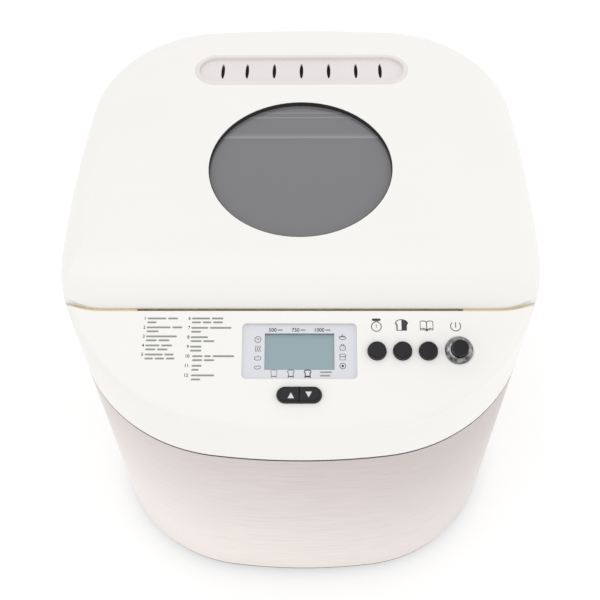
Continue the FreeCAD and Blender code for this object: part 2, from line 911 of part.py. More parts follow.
def baking_chamber():
    top = deck_top - plastic_wall
    walls = chamber_prism(-sheet, chamber_floor, top).cut(chamber_prism(0, chamber_floor + sheet, top))
    flange = chamber_prism(-chamber_flange, top - sheet, top).cut(chamber_prism(0, top - sheet, top))
    ports = [rod_y(element_r + port_play, x, oven_front - 2, oven_front + 2, element_z)
             for x in (-terminal_x, terminal_x)]
    ports.append(rod_y(sensor_r, sensor_x, oven_front - 2, oven_front + 2, sensor_z))
    ports.append(cyl(bearing_r + bearing_play, 0, oven_y, chassis_top, dog_bottom))
    return join([walls, flange]).cut(group(ports))


def element_half(side):
    """Run of the heater from one terminal round to the middle of the rear."""
    front, rear = oven_y - element_half_y, oven_y + element_half_y
    end_x, outer, turn, bend = terminal_x, element_half_x, element_turn, element_bend

    def p(x, y):
        return V(side * x, y, element_z)

    return [Part.makeLine(p(end_x, element_end), p(end_x, front - turn)),
            arc_edge(p(end_x + turn, front - turn), p(end_x, front - turn), p(end_x + turn, front)),
            Part.makeLine(p(end_x + turn, front), p(outer - bend, front)),
            arc_edge(p(outer - bend, front + bend), p(outer - bend, front), p(outer, front + bend)),
            Part.makeLine(p(outer, front + bend), p(outer, rear - bend)),
            arc_edge(p(outer - bend, rear - bend), p(outer, rear - bend), p(outer - bend, rear)),
            Part.makeLine(p(outer - bend, rear), p(0, rear))]


def heating_element():
    return piped(element_half(-1) + element_half(1), element_r, V(0, 1, 0))


def heater_terminals():
    back = oven_front - sheet
    bead = rod_y(terminal_r, 0, back - terminal_thick, back, element_z)
    bead = bead.cut(rod_y(element_r, 0, back - terminal_thick, back, element_z))
    return group(copies(bead, [(-terminal_x, 0), (terminal_x, 0)]))


def heater_clips():
    top = element_z - element_r
    clips = []
    for side in (-1, 1):
        x0, x1 = sorted((side * chamber_half_x, side * (element_half_x - 1)))
        for y in (oven_y - clip_reach, oven_y + clip_reach):
            clips.append(box(x0, x1, y - clip_half, y + clip_half, top - clip_thick, top))
    return group(clips)


def heat_shield():
    front = shield_y - sheet
    plate = box(-shield_half_x, shield_half_x, front, shield_y, chassis_top, shield_top)
    foot = box(-shield_half_x, shield_half_x, front, shield_y + shield_foot, chassis_top, chassis_top + sheet)
    return join([plate, foot])


def temperature_sensor():
    start = oven_front - sensor_behind
    stem = rod_y(sensor_r, sensor_x, start, oven_front + sensor_reach, sensor_z)
    return join([stem, rod_y(sensor_head_r, sensor_x, start, oven_front - sheet, sensor_z)])


def pan_clips():
    floor = chamber_floor + sheet
    half = pan_clip_half
    foot = box(-pan_clip_foot, pan_clip_foot, -half, half, floor, floor + 1)
    blade_plate = box(-pan_clip_blade, pan_clip_blade, -half, half, floor, chamber_floor + pan_clip_top)
    clip = join([foot, blade_plate])
    x = pan_foot_r + pan_clip_gap
    return group(copies(clip, [(side * x, oven_y + end * pan_clip_y) for side in (-1, 1) for end in (-1, 1)]))


# Pan

def pan_prism(inset, z0, z1):
    return rounded_box(-pan_half_x + inset, pan_half_x - inset, oven_y - pan_half_y + inset,
                       oven_y + pan_half_y - inset, z0, z1, pan_corner_r - inset)


def pan_form(inset):
    low = pan_floor + inset
    block = pan_prism(inset, low, pan_rim)
    return block.makeFillet(pan_edge_r - inset, [e for e in block.Edges if e.BoundBox.ZMax < low + tiny])


def bread_pan():
    low = pan_rim - rim_thick
    rim = pan_prism(-rim_proud, low, pan_rim).cut(pan_prism(pan_wall / 2, low, pan_rim))
    ears = []
    for side in (-1, 1):
        x0, x1 = sorted((side * pan_half_x, side * (pan_half_x + ear_plate)))
        plate = box(x0, x1, oven_y - ear_half, oven_y + ear_half, ear_low, bail_pivot_z)
        ears.append(join([plate, rod_x(ear_half, x0, x1, oven_y, bail_pivot_z)]))
    pan = join([pan_form(0).cut(pan_form(pan_wall)), rim] + ears)
    pan = pan.cut(rod_x(bail_r + running_play, -through, through, oven_y, bail_pivot_z))
    return pan.cut(cyl(bush_r, 0, oven_y, bush_low, pan_floor + pan_wall))


def pan_foot():
    low = chamber_floor + sheet + pan_foot_play
    ring = tube(pan_foot_r, pan_foot_r - pan_foot_wall, 0, oven_y, low, pan_floor)
    flange = tube(pan_foot_r, foot_flange_r, 0, oven_y, pan_floor - foot_flange, pan_floor)
    half_x, half_y = lug_half
    lug = box(-half_x, half_x, -half_y, half_y, low + lug_lift, low + 2 * lug_lift)
    return join([ring, flange] + copies(lug, [(side * (pan_foot_r - 1), oven_y) for side in (-1, 1)]))


def pan_bush():
    inner, floor = shaft_r + running_play, pan_floor + pan_wall
    return join([tube(bush_r, inner, 0, oven_y, bush_low, bush_top),
                 tube(bush_flange_r, inner, 0, oven_y, floor, floor + bush_flange)])


def pan_seal():
    return tube(seal_r, shaft_r + running_play, 0, oven_y, bush_top, bush_top + seal_thick)


def pan_shaft():
    shaft = cyl(shaft_r, 0, oven_y, dog_floor + 1.5, paddle_shaft_top)
    flat = box(shaft_flat, shaft_r, oven_y - shaft_r, oven_y + shaft_r, flat_low, paddle_shaft_top)
    return shaft.cut(flat)


def dog_wings(start, low, high, turns):
    wing = box(start, dog_r, oven_y - dog_wing_half, oven_y + dog_wing_half, low, high)
    return [wing.rotated(V(0, oven_y, 0), V(0, 0, 1), turn) for turn in turns]


def pan_dog():
    disc = tube(dog_r, shaft_r, 0, oven_y, dog_top + dog_play, pan_dog_top)
    return join([disc] + dog_wings(pan_dog_wing_start, dog_floor + dog_play, pan_dog_top, (90, 270)))


def upright_blade(sizes, heights, r):
    """Rounded plate out from the shaft: start, end and half thickness."""
    start, end, half = sizes
    return rounded_box(start, end, oven_y - half, oven_y + half, *heights, r)


def kneading_paddle():
    hub = cyl(hub_r, 0, oven_y, hub_low, hub_top)
    paddle = join([hub, upright_blade(blade, blade_height, blade_r), upright_blade(toe, toe_height, toe_r)])
    return paddle.cut(pan_shaft()).cut(cyl(shaft_r, 0, oven_y, hub_low, flat_low))


def bail_half(side):
    """Run of the handle from one pivot to the middle of its bow."""
    def p(x, height):
        return V(side * x, oven_y, bail_pivot_z + height)

    shoulder, inner = bail_height - bail_bend, bail_x - bail_bend
    return [Part.makeLine(p(bail_x, 0), p(bail_x, shoulder)),
            arc_edge(p(inner, shoulder), p(bail_x, shoulder), p(inner, bail_height)),
            Part.makeLine(p(inner, bail_height), p(0, bail_height))]


def pan_handle():
    bow = piped(bail_half(-1) + bail_half(1), bail_r, V(0, 0, 1))
    pins = []
    for side in (-1, 1):
        x0, x1 = sorted((side * (pan_half_x - 1), side * (bail_x + bail_r)))
        pins.append(rod_x(bail_r, x0, x1, oven_y, bail_pivot_z))
    return join([bow] + pins).rotated(V(0, oven_y, bail_pivot_z), V(1, 0, 0), bail_rest_angle)


# Drive

def chassis_plate():
    holes = [bore(chassis_post_hole_r, x, y, chassis_z) for x, y in post_places]
    holes += [bore(chassis_screw_hole_r, x, y, chassis_z) for x, y in base_screw_places]
    holes.append(bore(bearing_r + bearing_play, 0, oven_y, chassis_z))
    holes.append(bore(chassis_motor_hole_r, 0, motor_y, chassis_z))
    plate = oval(chassis_inset, chassis_z, chassis_top).cut(group(holes))
    leg = box(-leg_half, leg_half, -leg_half, leg_half, chassis_top, chamber_floor)
    return join([plate] + copies(leg, leg_places))


def chassis_screws():
    piece = screw(chassis_screw_r, chassis_top + chassis_screw_head, chassis_top, chassis_screw_tip)
    return group(copies(piece, post_places))


def bearing_housing():
    body = join([cyl(bearing_r, 0, oven_y, bearing_low, bearing_top),
                 cyl(bearing_flange_r, 0, oven_y, bearing_low, chassis_z)])
    return body.cut(bore(bearing_bore_r, 0, oven_y, bearing_low))


def drive_bushes():
    bush = tube(bearing_bore_r, shaft_r + running_play, 0, oven_y, bearing_low, bearing_low + drive_bush)
    return group([bush, bush.translated(V(0, 0, bearing_top - bearing_low - drive_bush))])


def drive_shaft():
    return cyl(shaft_r, 0, oven_y, shaft_low, dog_floor + dog_play)


def drive_dog():
    ring = tube(dog_r, shaft_r, 0, oven_y, dog_bottom, dog_floor)
    return join([ring] + dog_wings(dog_wing_start, dog_bottom, dog_top, (0, 180)))


def pulley(radius, hole_r, y):
    body = join([cyl(radius, 0, y, pulley_low, pulley_high),
                 cyl(radius + pulley_rim, 0, y, pulley_low, pulley_low + pulley_flange),
                 cyl(radius + pulley_rim, 0, y, pulley_high - pulley_flange, pulley_high)])
    return body.cut(bore(hole_r, 0, y, pulley_low))


def driven_pulley():
    web = tube(*web_r, 0, oven_y, pulley_low + web_depth, pulley_high)
    hole = bore(web_hole_r, web_hole_at, oven_y, pulley_low)
    turn = 360 / web_hole_count
    holes = [hole.rotated(V(0, oven_y, 0), V(0, 0, 1), turn * i) for i in range(web_hole_count)]
    return pulley(driven_r, shaft_r, oven_y).cut(web).cut(group(holes))


def motor_pulley():
    return pulley(motor_pulley_r, motor_shaft_r, motor_y)


def belt_face(grow):
    """Loop round both pulleys, at a distance outside them."""
    span = oven_y - motor_y
    big, small = driven_r + grow, motor_pulley_r + grow
    lean = math.asin((big - small) / span)
    away = V(math.cos(lean), -math.sin(lean), 0)
    z = pulley_low + belt_inset
    big_c, small_c = V(0, oven_y, z), V(0, motor_y, z)
    big_edge, small_edge = big_c + away * big, small_c + away * small
    edges = [Part.makeLine(small_edge, big_edge), Part.makeLine(flipped(small_edge), flipped(big_edge)),
             Part.Arc(big_edge, big_c + V(0, big, 0), flipped(big_edge)).toShape(),
             Part.Arc(small_edge, small_c - V(0, small, 0), flipped(small_edge)).toShape()]
    return prism(edges, pulley_high - pulley_low - 2 * belt_inset)


def drive_belt():
    return belt_face(belt_play + belt_thick).cut(belt_face(belt_play))


def motor_body():
    half_x, half_y, thick = motor_flange
    can = top_rounded(cyl(motor_r, 0, motor_y, chassis_top + thick, motor_top), motor_top, motor_edge_r)
    flange = rounded_box(-half_x, half_x, motor_y - half_y, motor_y + half_y,
                         chassis_top, chassis_top + thick, motor_flange_r)
    hole = cyl(motor_shaft_r + running_play, 0, motor_y, shaft_low, motor_shaft_top + 1)
    return join([can, flange]).cut(hole)


def motor_shaft():
    return cyl(motor_shaft_r, 0, motor_y, shaft_low, motor_shaft_top)


def run_capacitor():
    can = cyl(capacitor_r, *capacitor_place, chassis_top, capacitor_top)
    return top_rounded(can, capacitor_top, capacitor_edge_r)


def power_board():
    rear = power_board_y + board_thick
    parts = [box(*power_board_x, power_board_y, rear, chassis_top, power_board_top)]
    for x0, x1, thick, top in (transformer, relay):
        parts.append(box(x0, x1, rear, rear + thick, mains_low, top))
    return join(parts)


pieces = {
    "rubber_feet": rubber_feet, "base_tray": base_tray, "base_screws": base_screws, "steel_wrap": steel_wrap,
    "cord_gland": cord_gland, "seam_gasket": seam_gasket, "upper_housing": upper_housing,
    "chamber_frame": chamber_frame, "lid_shell": lid_shell, "window_pane": window_pane,
    "window_gasket": window_gasket, "window_retainer": window_retainer, "lid_liner": lid_liner,
    "inner_pane": inner_pane, "vent_strip": vent_strip, "vent_filter": vent_filter, "lid_screws": lid_screws,
    "hinge_pins": hinge_pins, "start_button": start_button, "start_ring": start_ring, "lcd_bezel": lcd_bezel,
    "lcd_screen": lcd_screen, "lcd_module": lcd_module, "control_board": control_board,
    "tact_switches": tact_switches, "board_screws": board_screws, "baking_chamber": baking_chamber,
    "heating_element": heating_element, "heater_terminals": heater_terminals, "heater_clips": heater_clips,
    "heat_shield": heat_shield, "temperature_sensor": temperature_sensor, "pan_clips": pan_clips,
    "bread_pan": bread_pan, "pan_foot": pan_foot, "pan_bush": pan_bush, "pan_seal": pan_seal,
    "pan_shaft": pan_shaft, "pan_dog": pan_dog, "kneading_paddle": kneading_paddle, "pan_handle": pan_handle,
    "chassis_plate": chassis_plate, "chassis_screws": chassis_screws, "bearing_housing": bearing_housing,
    "drive_bushes": drive_bushes, "drive_shaft": drive_shaft, "drive_dog": drive_dog,
    "driven_pulley": driven_pulley, "motor_pulley": motor_pulley, "drive_belt": drive_belt,
    "motor_body": motor_body, "motor_shaft": motor_shaft, "run_capacitor": run_capacitor,
    "power_board": power_board,
}


def main():
    os.makedirs("parts", exist_ok=True)
    shapes = {name: make() for name, make in pieces.items()}
    for name, x in zip(("timer_button", "crust_button", "menu_button"), button_xs):
        shapes[name] = push_button(x)
    shapes["up_button"] = rocker_button(-1)
    shapes["down_button"] = rocker_button(1)
    for name, shape in shapes.items():
        placed = shape.translated(origin_shift)
        print(name, "solids", len(placed.Solids), "valid", placed.isValid(), "volume", round(placed.Volume))
        placed.exportStep("parts/" + name + ".step")


main()
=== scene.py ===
import json
import math

import bpy
from bpy.props import FloatProperty, FloatVectorProperty, PointerProperty
from mathutils import Euler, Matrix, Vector


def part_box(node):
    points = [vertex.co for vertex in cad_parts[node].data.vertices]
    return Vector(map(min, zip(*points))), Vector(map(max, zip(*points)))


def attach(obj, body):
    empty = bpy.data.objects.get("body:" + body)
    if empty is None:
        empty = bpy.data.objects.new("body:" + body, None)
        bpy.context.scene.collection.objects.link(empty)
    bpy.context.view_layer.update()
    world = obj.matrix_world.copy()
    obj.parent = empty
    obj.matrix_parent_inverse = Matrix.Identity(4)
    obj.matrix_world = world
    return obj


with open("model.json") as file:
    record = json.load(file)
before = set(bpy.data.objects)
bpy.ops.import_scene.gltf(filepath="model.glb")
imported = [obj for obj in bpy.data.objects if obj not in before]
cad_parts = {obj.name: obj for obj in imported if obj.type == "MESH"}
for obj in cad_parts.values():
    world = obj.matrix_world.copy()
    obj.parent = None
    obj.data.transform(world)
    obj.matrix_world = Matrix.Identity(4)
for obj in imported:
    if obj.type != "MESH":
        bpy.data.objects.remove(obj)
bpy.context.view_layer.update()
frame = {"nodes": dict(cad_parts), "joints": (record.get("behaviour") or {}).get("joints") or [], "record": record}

bl_info = {
    "name": "Bread Machine Looks",
    "version": (1, 0, 0),
    "blender": (4, 5, 0),
    "location": "View3D > Sidebar > Bread Machine",
    "description": "Finishes, panel printing and studio for a countertop bread machine",
    "category": "Object",
}

MM = 0.001
MICRON = 0.001 * MM
SLOT_OF = {part["node"]: part["material_slot"] for part in frame["record"]["subparts"]}


# Settings

def colour(name, description, default):
    return FloatVectorProperty(name=name, description=description, subtype="COLOR", size=3, min=0.0, max=1.0,
                               default=default)


def length(name, description, millimetres):
    return FloatProperty(name=name, description=description, subtype="DISTANCE", unit="LENGTH", precision=5,
                         default=millimetres * MM)


def angle(name, description, degrees):
    return FloatProperty(name=name, description=description, subtype="ANGLE", default=math.radians(degrees))


def amount(name, description, default, unit="NONE"):
    return FloatProperty(name=name, description=description, unit=unit, default=default)


class MachineColours(bpy.types.PropertyGroup):
    """Colours of the machine's finishes"""
    white: colour("White plastic", "Lid, panel and apron", (0.895, 0.885, 0.858))
    # The two steel colours are painted light: painted shade under the apron's overhang and painted light at the
    # foot
    steel_top: colour("Steel under the apron", "Darker top of the wrap", (0.606, 0.546, 0.532))
    steel_foot: colour("Steel at the foot", "Lighter foot of the wrap", (0.889, 0.826, 0.788))
    # Beige trim frame; its warm colour also stands in for painted bounce light in the gap under the lid
    beige: colour("Beige plastic", "Trim frame under the lid", (0.950, 0.830, 0.540))
    key_black: colour("Key black", "Glossy push keys", (0.012, 0.012, 0.0150))
    window: colour("Window grey", "Smoked round window", (0.183, 0.182, 0.192))
    display: colour("Display", "Unlit display glass", (0.268, 0.360, 0.388))
    bezel: colour("Display bezel", "Pale plate round the display", (0.712, 0.722, 0.760))
    silver: colour("Silver", "Vent strip", (0.785, 0.745, 0.738))
    ink: colour("Panel ink", "Dark grey printing", (0.030, 0.030, 0.036))
    word_ink: colour("Bar ink", "Plain bars beside the numbers", (0.300, 0.300, 0.305))
    light_ink: colour("Light ink", "Arrows on the black keys", (0.690, 0.690, 0.710))


class PrintSizes(bpy.types.PropertyGroup):
    """Sizes of the printing on the panel"""
    digit: length("Digit size", "Programme numbers", 2.8)
    display_digit: length("Display digit size", "Numbers over the display", 3.2)
    bolder: length("Bolder", "Outline added round the programme numbers", 0.04)
    display_bolder: length("Bolder on the display", "Outline added round the display's numbers", 0.04)
    line: length("Line width", "Stroke of the pictograms over the keys", 0.5)
    fine_line: length("Fine line width", "Stroke of the display's pictograms", 0.36)
    bar: length("Bar height", "Plain bars beside the programme numbers", 1.1)
    small_bar: length("Small bar height", "Plain bars on the display's bezel", 0.9)
    rise: length("Ink rise", "How far ink stands off its surface", 0.05)


class StudioSettings(bpy.types.PropertyGroup):
    """Camera and light"""
    camera_side: length("Camera to the right", "From the middle of the machine to its right", 7.5)
    camera_front: length("Camera in front", "From the middle of the machine towards the front", 415.8)
    camera_height: length("Camera height", "Above the table", 726.3)
    camera_pitch: angle("Camera pitch", "Downward tilt", 54.6)
    camera_pan: angle("Camera pan", "Turn to the left", 0.7376)
    camera_lens: amount("Camera lens", "Focal length on a 36 mm sensor", 55.93, "CAMERA")
    sky: amount("Sky", "Even white light from all round", 0.93)
    floor_glow: amount("Floor glow", "Light of the floor itself", 0.45)
    key_power: amount("Key light", "Soft light above the front", 1.35, "POWER")
    fill_power: amount("Fill light", "Soft light at the side", 0.8, "POWER")


class MachineSettings(bpy.types.PropertyGroup):
    """Everything that a user would change"""
    colours: PointerProperty(type=MachineColours)
    prints: PointerProperty(type=PrintSizes)
    studio: PointerProperty(type=StudioSettings)


def settings():
    return bpy.context.scene.bread_machine


# Finishes

NOISE_LOW, NOISE_HIGH = 0.3, 0.7


def start_finish(name):
    """A node material, its shader, and Object coordinates to drive patterns."""
    material = bpy.data.materials.new(name)
    material.use_nodes = True
    nodes = material.node_tree.nodes
    return material, nodes["Principled BSDF"], nodes.new("ShaderNodeTexCoord").outputs["Object"]


def grain(material, place, scale, squeeze=(1, 1, 1), detail=3.0):
    """Noise over the surface, squeezed along the axes; most of it lies from NOISE_LOW to NOISE_HIGH."""
    tree = material.node_tree
    mapping = tree.nodes.new("ShaderNodeMapping")
    mapping.inputs["Scale"].default_value = squeeze
    noise = tree.nodes.new("ShaderNodeTexNoise")
    noise.inputs["Scale"].default_value = scale
    noise.inputs["Detail"].default_value = detail
    tree.links.new(place, mapping.inputs["Vector"])
    tree.links.new(mapping.outputs["Vector"], noise.inputs["Vector"])
    return noise.outputs["Fac"]


def ramp_colour(material, shader, pattern, stops):
    """Colour the shader by the pattern, through (position, colour) stops."""
    ramp = material.node_tree.nodes.new("ShaderNodeValToRGB")
    elements = ramp.color_ramp.elements
    while len(elements) < len(stops):
        elements.new(0.5)
    for element, (position, shade) in zip(elements, stops):
        element.position = position
        element.color = [min(channel, 1.0) for channel in shade] + [1.0]
    material.node_tree.links.new(pattern, ramp.inputs["Fac"])
    material.node_tree.links.new(ramp.outputs["Color"], shader.inputs["Base Color"])


def times(shade, factor):
    return [channel * factor for channel in shade]


def shades(base, stops):
    """Colour stops of one base colour, from (position, factor) stops."""
    return [(position, times(base, factor)) for position, factor in stops]


def tint(material, shader, pattern, base, spread):
    """Let the pattern lighten and darken the base colour."""
    ramp_colour(material, shader, pattern, shades(base, ((NOISE_LOW, 1 - spread), (NOISE_HIGH, 1 + spread))))


def polish(material, shader, pattern, low, high):
    """Let the pattern set the roughness between two values."""
    span = material.node_tree.nodes.new("ShaderNodeMapRange")
    span.inputs["From Min"].default_value = NOISE_LOW
    span.inputs["From Max"].default_value = NOISE_HIGH
    span.inputs["To Min"].default_value = low
    span.inputs["To Max"].default_value = high
    material.node_tree.links.new(pattern, span.inputs["Value"])
    material.node_tree.links.new(span.outputs["Result"], shader.inputs["Roughness"])


def relief(material, shader, pattern, depth):
    """Raise the surface by the pattern, by a depth in metres."""
    bump = material.node_tree.nodes.new("ShaderNodeBump")
    bump.inputs["Strength"].default_value = 1.0
    bump.inputs["Distance"].default_value = depth
    material.node_tree.links.new(pattern, bump.inputs["Height"])
    material.node_tree.links.new(bump.outputs["Normal"], shader.inputs["Normal"])


def along_axis(material, place, axis, start, end):
    """Pattern that runs from 0 to 1 between two places on an axis."""
    tree = material.node_tree
    split = tree.nodes.new("ShaderNodeSeparateXYZ")
    span = tree.nodes.new("ShaderNodeMapRange")
    span.inputs["From Min"].default_value = start
    span.inputs["From Max"].default_value = end
    tree.links.new(place, split.inputs["Vector"])
    tree.links.new(split.outputs[axis], span.inputs["Value"])
    return span.outputs["Result"]


def blended(material, first, second, share):
    """Two patterns mixed, with a share of the second."""
    mix = material.node_tree.nodes.new("ShaderNodeMix")
    mix.inputs["Factor"].default_value = share
    material.node_tree.links.new(first, mix.inputs["A"])
    material.node_tree.links.new(second, mix.inputs["B"])
    return mix.outputs["Result"]


def moulded(name, base, roughness, spread=0.012, texture=1400, depth=4 * MICRON, shine=0.5):
    """Injection-moulded plastic: faint mottling, uneven gloss and a fine mould texture."""
    mottle_scale, gloss_scale, gloss_spread = 14, 40, 0.04
    material, shader, place = start_finish(name)
    tint(material, shader, grain(material, place, mottle_scale), base, spread)
    gloss = grain(material, place, gloss_scale)
    polish(material, shader, gloss, roughness - gloss_spread, roughness + gloss_spread)
    relief(material, shader, grain(material, place, texture), depth)
    shader.inputs["Specular IOR Level"].default_value = shine
    return material


def metal(name, base, low, high, scale, spread):
    """Bare or plated metal with uneven polish and tone; on the start ring's chrome the strong tone spread is
    painted reflection.
    """
    material, shader, place = start_finish(name)
    shader.inputs["Metallic"].default_value = 1.0
    pattern = grain(material, place, scale, detail=6.0)
    tint(material, shader, pattern, base, spread)
    polish(material, shader, pattern, low, high)
    relief(material, shader, pattern, 3 * MICRON)
    return material


def brushed_steel(name):
    """Stainless sheet brushed round the body: level streaks, with painted shade under the apron and to the right,
    and painted light at the foot.
    """
    streak_share, right_shade_share = 0.45, 0.22
    material, shader, place = start_finish(name)
    shader.inputs["Metallic"].default_value = 1.0
    shader.inputs["Anisotropic"].default_value = 0.55
    low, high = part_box("steel_wrap")
    streaks = grain(material, place, 1.0, (45, 45, 850), detail=4.0)
    # Painted shade and light: dark under the apron, light at the foot, and darker to the right
    height = along_axis(material, place, "Z", high.z, low.z)
    across = along_axis(material, place, "X", high.x, low.x)
    pattern = blended(material, blended(material, height, streaks, streak_share), across, right_shade_share)
    top = shades(settings().colours.steel_top, ((0.05, 0.84), (0.28, 1.0)))
    foot = shades(settings().colours.steel_foot, ((0.71, 1.0), (0.95, 1.1)))
    ramp_colour(material, shader, pattern, top + foot)
    polish(material, shader, streaks, 0.30, 0.42)
    relief(material, shader, grain(material, place, 3.0, (5, 5, 1500), detail=6.0), 12 * MICRON)
    around = material.node_tree.nodes.new("ShaderNodeTangent")
    around.direction_type = "RADIAL"
    around.axis = "Z"
    material.node_tree.links.new(around.outputs["Tangent"], shader.inputs["Tangent"])
    return material


def smoked_glass(name):
    """Grey window with painted reflections: faint bright level lines towards the rear."""
    # Painted reflections: brighter bands at these places along the window
    reflection_lines = ((0.720, 1.0), (0.727, 1.6), (0.745, 1.15), (0.765, 1.0),
             (0.872, 1.0), (0.878, 1.6), (0.884, 1.0),
             (0.908, 1.0), (0.914, 1.4), (0.920, 1.0))
    material, shader, place = start_finish(name)
    low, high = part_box("window_pane")
    rows = along_axis(material, place, "Y", low.y, high.y)
    ramp_colour(material, shader, rows, shades(settings().colours.window, reflection_lines))
    polish(material, shader, grain(material, place, 60), 0.03, 0.06)
    return material


def clear_glass(name):
    """Colourless inner pane."""
    material, shader, place = start_finish(name)
    tint(material, shader, grain(material, place, 12), (0.86, 0.90, 0.90), 0.01)
    polish(material, shader, grain(material, place, 60), 0.02, 0.05)
    shader.inputs["Transmission Weight"].default_value = 0.9
    return material


def shaded_plate(name, box, mottle_share, stops):
    """A plate with painted shade along its upper edge, with faint mottling; its polish is still to be set."""
    material, shader, place = start_finish(name)
    low, high = box
    # Painted shade: the colour darkens towards the plate's upper edge
    height = along_axis(material, place, "Y", low.y, high.y)
    mottle = grain(material, place, 300, detail=2.0)
    ramp_colour(material, shader, blended(material, height, mottle, mottle_share), stops)
    return material, shader, place


def display_glass(name):
    """Reflective display with the shade of its frame along the upper edge."""
    stops = shades(settings().colours.display, ((0.0, 1.04), (0.80, 1.0), (0.90, 0.88), (0.935, 0.5)))
    material, shader, place = shaded_plate(name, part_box("lcd_screen"), 0.04, stops)
    polish(material, shader, grain(material, place, 500), 0.10, 0.18)
    return material


def bezel_face(name):
    """Pale frame of the display, shaded along its upper edge."""
    stops = shades(settings().colours.bezel, ((0.0, 1.0), (0.88, 0.995), (0.93, 0.88), (0.965, 0.74)))
    material, shader, place = shaded_plate(name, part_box("lcd_bezel"), 0.02, stops)
    polish(material, shader, grain(material, place, 40), 0.38, 0.46)
    return material


def nonstick(name):
    """Dark non-stick coat with fine light specks."""
    material, shader, place = start_finish(name)
    tint(material, shader, grain(material, place, 900, detail=1.0), (0.045, 0.045, 0.048), 0.35)
    polish(material, shader, grain(material, place, 120), 0.30, 0.45)
    relief(material, shader, grain(material, place, 700), 10 * MICRON)
    shader.inputs["Metallic"].default_value = 0.3
    return material


# Base colours are values, or the names of colour settings
PLASTICS = {
    "white_plastic": dict(base="white", roughness=0.34, spread=0.005, texture=1800, depth=2 * MICRON),
    "beige_plastic": dict(base="beige", roughness=0.45, spread=0.03),
    "black_gloss": dict(base="key_black", roughness=0.16, spread=0.10, texture=900, depth=1 * MICRON,
                        shine=0.24),
    "silver_plastic": dict(base="silver", roughness=0.36, spread=0.02, texture=2400, depth=3 * MICRON),
    "black_rubber": dict(base=(0.020, 0.020, 0.021), roughness=0.72, spread=0.15, texture=500,
                         depth=20 * MICRON),
    "black_plastic": dict(base=(0.010, 0.009, 0.008), roughness=0.6, spread=0.12, shine=0.1),
    "grey_plastic": dict(base=(0.13, 0.13, 0.135), roughness=0.55, spread=0.05, texture=700,
                         depth=20 * MICRON),
    "circuit_board": dict(base=(0.02, 0.13, 0.05), roughness=0.4, spread=0.2),
    "ceramic": dict(base=(0.72, 0.70, 0.66), roughness=0.5, spread=0.04),
}
METALS = {
    "chrome": dict(base=(0.60, 0.60, 0.61), low=0.06, high=0.16, scale=120, spread=0.15),
    # The start ring's chrome carries painted reflections: strong dark and light blotches in its colour
    "streaky_chrome": dict(base=(0.22, 0.22, 0.222), low=0.05, high=0.12, scale=330, spread=0.85),
    "sheet_steel": dict(base=(0.56, 0.56, 0.57), low=0.34, high=0.42, scale=60, spread=0.06),
    "heater_steel": dict(base=(0.16, 0.145, 0.135), low=0.35, high=0.6, scale=70, spread=0.25),
    "motor_steel": dict(base=(0.22, 0.22, 0.23), low=0.35, high=0.5, scale=40, spread=0.12),
    "bronze": dict(base=(0.55, 0.36, 0.16), low=0.3, high=0.45, scale=80, spread=0.12),
    "screw_steel": dict(base=(0.50, 0.50, 0.51), low=0.16, high=0.3, scale=90, spread=0.10),
}
SPECIAL_FINISHES = {
    "brushed_steel": brushed_steel,
    "grey_glass": smoked_glass,
    "clear_glass": clear_glass,
    "lcd_glass": display_glass,
    "bezel_plastic": bezel_face,
    "nonstick": nonstick,
}
OWN_FINISH = {"start_ring": "streaky_chrome"}


def finish_for(finish):
    """The material of a finish, made when it is first asked for."""
    name = finish + "_finish"
    made = bpy.data.materials.get(name)
    if made:
        return made
    if finish in METALS:
        return metal(name, **METALS[finish])
    if finish in PLASTICS:
        recipe = dict(PLASTICS[finish])
        if isinstance(recipe["base"], str):
            recipe["base"] = getattr(settings().colours, recipe["base"])
        return moulded(name, **recipe)
    return SPECIAL_FINISHES[finish](name)


def ink_finish(name):
    """One of the printing inks, named for its setting."""
    made = bpy.data.materials.get(name)
    if made:
        return made
    base = getattr(settings().colours, name)
    return moulded(name, base, roughness=0.55, spread=0.05, texture=900, depth=2 * MICRON)


def dress(nodes):
    """Give CAD parts their own finish or the finish of their slot."""
    for name in nodes:
        mesh = frame["nodes"][name].data
        mesh.materials.clear()
        mesh.materials.append(finish_for(OWN_FINISH.get(name, SLOT_OF[name])))


# Panel geometry

PRESS_AXIS = Vector(next(joint["axis"] for joint in frame["joints"] if joint["name"] == "timer_press"))
NORMAL = -PRESS_AXIS.normalized()
TILT = math.atan2(-NORMAL.y, NORMAL.z)
UP_SLOPE = Vector((0, math.cos(TILT), math.sin(TILT)))
# How far the start ring stands out of the panel
RING_RISE = 4.0 * MM


def height_on_panel(node):
    """Highest point of a part along the panel's normal."""
    return max(NORMAL.dot(v.co) for v in frame["nodes"][node].data.vertices)


def panel_point(node, across, up, height):
    """Point over the panel, counted in millimetres from the middle of a part."""
    low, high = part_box(node)
    point = (low + high) / 2 + Vector((across * MM, 0, 0)) + UP_SLOPE * up * MM
    return point + NORMAL * (height - NORMAL.dot(point))


def panel_surface():
    """Height of the bare panel along its normal."""
    return height_on_panel("start_ring") - RING_RISE


# Outlines, in millimetres

BAR_END_STEPS = 6
SMALL_RING_STEPS = 20


def arc(x, y, radius, start, end, steps=24):
    """Points along an arc, angles in degrees."""
    angles = [math.radians(start + (end - start) * i / steps) for i in range(steps + 1)]
    return [(x + radius * math.cos(a), y + radius * math.sin(a)) for a in angles]


def both_sides(half):
    """A closed outline from its right half, listed from top to bottom."""
    return half + [(-x, y) for x, y in reversed(half)]


def at(points, x, y):
    """Points moved to a place."""
    return [(px + x, py + y) for px, py in points]


def closed(points):
    """Points that come back to the first one."""
    return points + points[:1]


# Modelling of ink, flat in the XY plane

def clear_selection():
    if bpy.context.object and bpy.context.object.mode != "OBJECT":
        bpy.ops.object.mode_set(mode="OBJECT")
    bpy.ops.object.select_all(action="DESELECT")


def apply_place():
    bpy.ops.object.transform_apply(location=True, rotation=True, scale=True)


